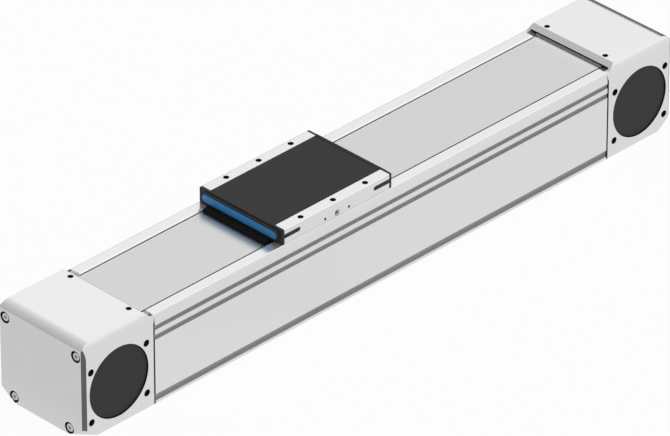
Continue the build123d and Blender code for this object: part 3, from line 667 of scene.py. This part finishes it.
def on_mouth_chamfer(face):
    """The chamfer above the strip's slot, beside the profile's end."""
    sloped = face.normal.z > CLEARLY and abs(face.normal.x) > CLEARLY
    high = face.center.z > MOUTH_HEIGHT * MM
    return sloped and high and past_profile_end(face.center.x) < JOINT_REACH


def place_discs(side, housing, discs):
    """Moves and grows the discs and their recesses in the housing, and sets the discs back."""
    low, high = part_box(f"disc_covers_{side}")
    middle = (low + high) / 2
    reach = (high.x - low.x) / 2 + DISC_GAP * MM
    for vertex in list(housing.data.vertices) + list(discs.data.vertices):
        arm = vertex.co - middle
        if abs(arm.y) > high.y - DISC_RECESS * MM and Vector((arm.x, arm.z)).length < reach:
            vertex.co.x = middle.x + arm.x * DISC_GROWTH
            vertex.co.z = middle.z + arm.z * DISC_GROWTH + DISC_LIFT * MM
    for vertex in discs.data.vertices:
        vertex.co.y -= math.copysign(DISC_SETBACK * MM, vertex.co.y)


for side in SIDES:
    housing = dress(f"housing_{side}", blasted_aluminium, 0.25, CREASE)
    widen_joint(housing)
    # Painted shade: the oblique corner facets get a dark grey that stands in for the dark they
    # mirror
    give(housing, facet_painted_shade, milled_at_corner)
    line_bores(housing)
    # Painted shade: the joint facets and the inside of the strip's slot get the near black of the
    # bores
    give(housing, bore_painted_shade, out_of_light)
    # Painted shade: the chamfer above the strip's slot gets the same grey
    give(housing, groove_painted_shade, on_mouth_chamfer)
    discs = dress(f"disc_covers_{side}", black_abs, 0.15)
    place_discs(side, housing, discs)
    dress(f"strip_clamp_{side}", ground_steel, 0.1)
    dress(f"clamp_grub_screws_{side}", black_steel, 0.1)
    outwards = (OUTWARDS[side], 0, 0)
    cap_screws(
        f"housing_screws_{side}", outwards, HOUSING_SCREW, zinc_steel
    )

# Pieces inside the body
for side in SIDES:
    paint(f"bearing_outer_rings_{side}", ground_steel)
    paint(f"circlips_{side}", black_steel)
    paint(f"end_buffers_{side}", rubber_and_painted_shade)
    paint(f"pulley_{side}", milled_aluminium)
    paint(f"pulley_flanges_{side}", ground_steel)
    paint(f"pulley_shaft_{side}", ground_steel)
    paint(f"bearing_inner_rings_{side}", ground_steel)
    paint(f"shaft_clips_{side}", black_steel)
paint("guide_rail", ground_steel)
cap_screws("rail_screws", (0, 0, 1), RAIL_SCREW, black_steel)
paint("magnet_strips", rubber_and_painted_shade)

# Carriage
line_bores(dress("carriage_body", extruded_aluminium, 0.2))
dress("carriage_cover", black_plate, 0.05)
for side in SIDES:
    dress(f"end_cover_{side}", black_abs, 0.1)
    dress(f"end_stripe_{side}", blue_abs, 0.15)
    dress(f"strip_deflector_{side}", black_abs, 0.2)
    paint(f"block_end_cap_{side}", black_abs)
    paint(f"belt_clamp_{side}", milled_aluminium)
dress("lube_nipples", ground_steel)
paint("guide_block", ground_steel)
cap_screws("block_screws", (0, 0, 1), BLOCK_SCREW, black_steel)
cap_screws("belt_clamp_screws", (0, 0, -1), CLAMP_SCREW, black_steel)
paint("sensor_magnets", ground_steel)

# Rubber wipers that close the slit between each end cover and the strip. Their section, in
# millimetres outwards from the cover's face and up from the strip: a low foot under the
# cover, and a bar in front of it whose top slopes down outwards
STRIP_THICK = 0.4
WIPER_HALF = 29.2
WIPER_EDGE = 0.15
WIPER_SECTION = [
    (-2.5, 0.1),
    (-2.5, 1.2),
    (0.1, 1.2),
    (0.1, 2.6),
    (1.2, 2.6),
    (5.0, 2.0),
    (5.0, 0.1),
]


def strip_wiper(side):
    """Rubber wiper of one end cover, a bar across the strip."""
    cover_low, cover_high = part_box(f"end_cover_{side}")
    face_x = cover_low.x if side == "left" else cover_high.x
    corners = [
        (face_x + OUTWARDS[side] * out * MM, y * MM, strip_low.z + (STRIP_THICK + up) * MM)
        for y in (-WIPER_HALF, WIPER_HALF)
        for out, up in WIPER_SECTION
    ]
    count = len(WIPER_SECTION)
    ring = list(range(count))
    walls = [(n, (n + 1) % count, (n + 1) % count + count, n + count) for n in ring]
    caps = [tuple(ring), tuple(n + count for n in reversed(ring))]
    mesh = bpy.data.meshes.new(f"strip_wiper_{side}")
    mesh.from_pydata(corners, [], walls + caps)
    shape = bmesh.new()
    shape.from_mesh(mesh)
    bmesh.ops.recalc_face_normals(shape, faces=shape.faces)
    shape.to_mesh(mesh)
    shape.free()
    mesh.materials.append(rubber_and_painted_shade)
    wiper = object_of(f"strip_wiper_{side}", mesh)
    rounded = wiper.modifiers.new("moulded_edges", "BEVEL")
    rounded.width = WIPER_EDGE * MM
    rounded.segments = 2
    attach(wiper, "carriage")


for side in SIDES:
    strip_wiper(side)


def cut_between(node_name, name, low_x, high_x, low_z=-1.0, high_z=1.0):
    """Part of a CAD node between two X planes and two heights, closed at its ends."""
    made = copy_of(node_name, name)
    shape = bmesh.new()
    shape.from_mesh(made.data)
    for place, normal in (
        (Vector((low_x, 0, 0)), Vector((-1, 0, 0))),
        (Vector((high_x, 0, 0)), Vector((1, 0, 0))),
        (Vector((0, 0, low_z)), Vector((0, 0, -1))),
        (Vector((0, 0, high_z)), Vector((0, 0, 1))),
    ):
        everything = list(shape.verts) + list(shape.edges) + list(shape.faces)
        cut = bmesh.ops.bisect_plane(
            shape, geom=everything, plane_co=place, plane_no=normal, clear_outer=True
        )
        rim = [item for item in cut["geom_cut"] if isinstance(item, bmesh.types.BMEdge)]
        bmesh.ops.holes_fill(shape, edges=rim, sides=0)
    shape.to_mesh(made.data)
    shape.free()
    shade(made.data)
    return made


# Cover strip in three lengths: the middle one travels with the carriage, and the flat
# lengths on both sides stay where they lie. It is a little narrower than its solid, so
# that the dark joints beside it show
STRIP_NARROWING = 0.99
strip_pieces = [
    ("cover_strip_left", strip_low.x, carriage_low.x, ("frame", "carriage")),
    ("cover_strip_over_carriage", carriage_low.x, carriage_high.x, None),
    ("cover_strip_right", carriage_high.x, strip_high.x, ("carriage", "frame")),
]
for name, low_x, high_x, joined in strip_pieces:
    piece = cut_between("cover_strip", name, low_x, high_x)
    for vertex in piece.data.vertices:
        vertex.co.y *= STRIP_NARROWING
    piece.data.materials.append(rolled_strip)
    if joined:
        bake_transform(piece)
    else:
        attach(piece, "carriage")
    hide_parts("cover_strip")

# Belt: the clamped ends travel, the upper runs stay where they lie, the rest stays with the frame
upper_z = (pulley_low.z + pulley_high.z) / 2
pulley_x = (pulley_low.x + pulley_high.x) / 2
past_end = 5 * MM
top = belt_high.z + past_end
bottom = belt_low.z - past_end
belt_pieces = [
    ("left_end", clamp_left[0].x, clamp_left[1].x + past_end, upper_z, top, "carriage"),
    ("right_end", clamp_right[0].x - past_end, clamp_right[1].x, upper_z, top, "carriage"),
    ("upper_left", -pulley_x, clamp_left[0].x, upper_z, top, ("frame", "carriage")),
    ("upper_right", clamp_right[1].x, pulley_x, upper_z, top, ("carriage", "frame")),
    ("left_wrap", belt_low.x - past_end, -pulley_x, upper_z, top, "frame"),
    ("right_wrap", pulley_x, belt_high.x + past_end, upper_z, top, "frame"),
    ("lower", belt_low.x - past_end, belt_high.x + past_end, bottom, upper_z, "frame"),
]
for part, low_x, high_x, low_z, high_z, joined in belt_pieces:
    piece = cut_between("toothed_belt", f"toothed_belt_{part}", low_x, high_x, low_z, high_z)
    piece.data.materials.append(belt_polyurethane)
    if isinstance(joined, str):
        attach(piece, joined)
    else:
        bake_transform(piece)
    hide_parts("toothed_belt")

# Number sockets of Blender's Mix node
MIX_FIRST = 2
MIX_SECOND = 3


def rays_to_background(tree):
    """Light paths, and 1 for a ray that shows the background: seen, mirrored or let through."""
    paths = add(tree, "ShaderNodeLightPath")
    shown = paths.outputs["Is Camera Ray"]
    for kind in ("Is Glossy Ray", "Is Transmission Ray"):
        either = add(
            tree,
            "ShaderNodeMath",
            {"operation": "MAXIMUM"},
            {0: shown, 1: paths.outputs[kind]},
        )
        shown = either.outputs["Value"]
    return paths, shown


# Light: an even bright room, and one wide soft lamp that falls mostly from above
ROOM_STRENGTH = 0.45
LAMP_STRENGTH = 2.0
LAMP_ANGLE = 50
LAMP_FROM = Vector((-0.06, -0.468, 0.881))
# Screens that only reflections show: two grey ones behind the left end, a black one low
# behind the right end, and pale ones overhead and in front. Each is a direction, the
# cosines where it starts and is full, and its tone
SCREENS = [
    (Vector((-0.75, 0.55, 0.35)), 0.12, 0.3, 0.78),
    (Vector((-0.75, 0.55, 0.35)), 0.35, 1.0, 0.52),
    (Vector((0.69, 0.69, -0.22)), 0.76, 0.81, 0.05),
    (Vector((0, 0, 1)), 0.8, 0.95, 0.8),
    (Vector((0, -1, 0.35)), 0.7, 0.95, 0.8),
]


def studio_room():
    """World: white where the camera looks, plain light on the object, screens in reflections."""
    world = bpy.data.worlds.new("studio")
    world.use_nodes = True
    sky = world.node_tree
    sky.nodes.clear()
    paths, shown = rays_to_background(sky)
    strength = add(
        sky,
        "ShaderNodeMapRange",
        {"To Min": ROOM_STRENGTH, "To Max": 1.0},
        {"Value": shown},
    )
    direction = add(sky, "ShaderNodeTexCoord")
    light = strength.outputs["Result"]
    for towards, start, full, tone in SCREENS:
        nearness = add(
            sky,
            "ShaderNodeVectorMath",
            {"operation": "DOT_PRODUCT", 1: towards.normalized()},
            {0: direction.outputs["Generated"]},
        )
        screen = add(
            sky,
            "ShaderNodeMapRange",
            {"From Min": start, "From Max": full, "To Min": 1.0, "To Max": tone},
            {"Value": nearness.outputs["Value"]},
        )
        mirrored = add(
            sky,
            "ShaderNodeMix",
            {"data_type": "FLOAT", MIX_FIRST: 1.0},
            {0: paths.outputs["Is Glossy Ray"], MIX_SECOND: screen.outputs["Result"]},
        )
        dimmed = add(
            sky,
            "ShaderNodeMath",
            {"operation": "MULTIPLY"},
            {0: light, 1: mirrored.outputs[0]},
        )
        light = dimmed.outputs["Value"]
    glow = add(
        sky,
        "ShaderNodeBackground",
        {"Color": linear("FFFFFF")},
        {"Strength": light},
    )
    add(sky, "ShaderNodeOutputWorld", links={"Surface": glow.outputs["Background"]})
    return world


bpy.context.scene.world = studio_room()
lamp = bpy.data.lights.new("overhead_softbox", "SUN")
lamp.energy = LAMP_STRENGTH
lamp.angle = math.radians(LAMP_ANGLE)
lamp_object = object_of("overhead_softbox", lamp)
# The metal tops don't mirror the lamp, because they would clip to white from above
lamp_object.visible_glossy = False
lamp_object.rotation_mode = "QUATERNION"
lamp_object.rotation_quaternion = LAMP_FROM.to_track_quat("Z", "Y")

# Floor: pale, white where the camera looks, still darkened by the axis standing on it
FLOOR_REACH = 12.0
FLOOR_DROP = 0.2 * MM
# Share of the floor's own glow where it is seen; the rest takes light and the axis's shadow
FLOOR_GLOW = 0.93
# Reflections see the floor a little darker past the left end, and dark far off on both sides.
# Each fade runs along X, or along X plus Y: from and to in metres, and the tones there
FLOOR_FADES = [
    ("X", (-0.3, -0.26), (0.61, 0.755)),
    ("X plus Y", (0.46, 0.54), (1.0, 0.06)),
    ("X", (-0.5, -0.42), (0.2, 1.0)),
]


def pale_floor():
    """Floor paint: matt and pale, with its own glow where it is seen or mirrored."""
    material = bpy.data.materials.new("pale_floor")
    material.use_nodes = True
    tree = material.node_tree
    tree.nodes.clear()
    paths, shown = rays_to_background(tree)
    matt = add(tree, "ShaderNodeBsdfDiffuse", {"Color": linear("DADADA")})
    place = add(tree, "ShaderNodeTexCoord")
    parts = add(tree, "ShaderNodeSeparateXYZ", links={"Vector": place.outputs["Object"]})
    diagonal = add(
        tree,
        "ShaderNodeMath",
        {"operation": "ADD"},
        {0: parts.outputs["X"], 1: parts.outputs["Y"]},
    )
    along = {"X": parts.outputs["X"], "X plus Y": diagonal.outputs["Value"]}
    tone = None
    for course, (start, end), (first, last) in FLOOR_FADES:
        fade = add(
            tree,
            "ShaderNodeMapRange",
            {"From Min": start, "From Max": end, "To Min": first, "To Max": last},
            {"Value": along[course]},
        )
        both = add(
            tree,
            "ShaderNodeMath",
            {"operation": "MULTIPLY", 1: 1.0},
            {0: fade.outputs["Result"], **({1: tone} if tone else {})},
        )
        tone = both.outputs["Value"]
    glow_tone = add(
        tree,
        "ShaderNodeMix",
        {"data_type": "FLOAT", MIX_FIRST: 1.0},
        {0: paths.outputs["Is Glossy Ray"], MIX_SECOND: tone},
    )
    bright = add(
        tree,
        "ShaderNodeEmission",
        {"Color": linear("FFFFFF")},
        {"Strength": glow_tone.outputs[0]},
    )
    share = add(
        tree,
        "ShaderNodeMath",
        {"operation": "MULTIPLY", 1: FLOOR_GLOW},
        {0: shown},
    )
    mixed = add(
        tree,
        "ShaderNodeMixShader",
        links={0: share.outputs["Value"], 1: matt.outputs["BSDF"], 2: bright.outputs["Emission"]},
    )
    add(tree, "ShaderNodeOutputMaterial", links={"Surface": mixed.outputs["Shader"]})
    return material


floor_mesh = bpy.data.meshes.new("floor")
floor_corners = [
    (x * FLOOR_REACH, y * FLOOR_REACH, 0) for x, y in ((-1, -1), (1, -1), (1, 1), (-1, 1))
]
floor_mesh.from_pydata(floor_corners, [], [(0, 1, 2, 3)])
floor_mesh.materials.append(pale_floor())
floor = object_of("floor", floor_mesh)
floor.location.z = -FLOOR_DROP

# Camera
camera_data = bpy.data.cameras.new("camera")
camera_data.lens = CAMERA_LENS
camera_data.sensor_width = 36
camera_data.clip_start = 0.5
camera_data.clip_end = 40
camera = object_of("camera", camera_data)
azimuth = math.radians(CAMERA_AZIMUTH)
elevation = math.radians(CAMERA_ELEVATION)
towards_camera = Vector(
    (
        math.sin(azimuth) * math.cos(elevation),
        -math.cos(azimuth) * math.cos(elevation),
        math.sin(elevation),
    )
)
camera.location = CAMERA_PLACE
turn = (-towards_camera).to_track_quat("-Z", "Y").to_matrix()
camera.rotation_mode = "QUATERNION"
camera.rotation_quaternion = (
    turn @ Matrix.Rotation(math.radians(CAMERA_ROLL), 3, "Z")
).to_quaternion()
bpy.context.scene.camera = camera
bpy.context.scene.view_settings.view_transform = "Standard"
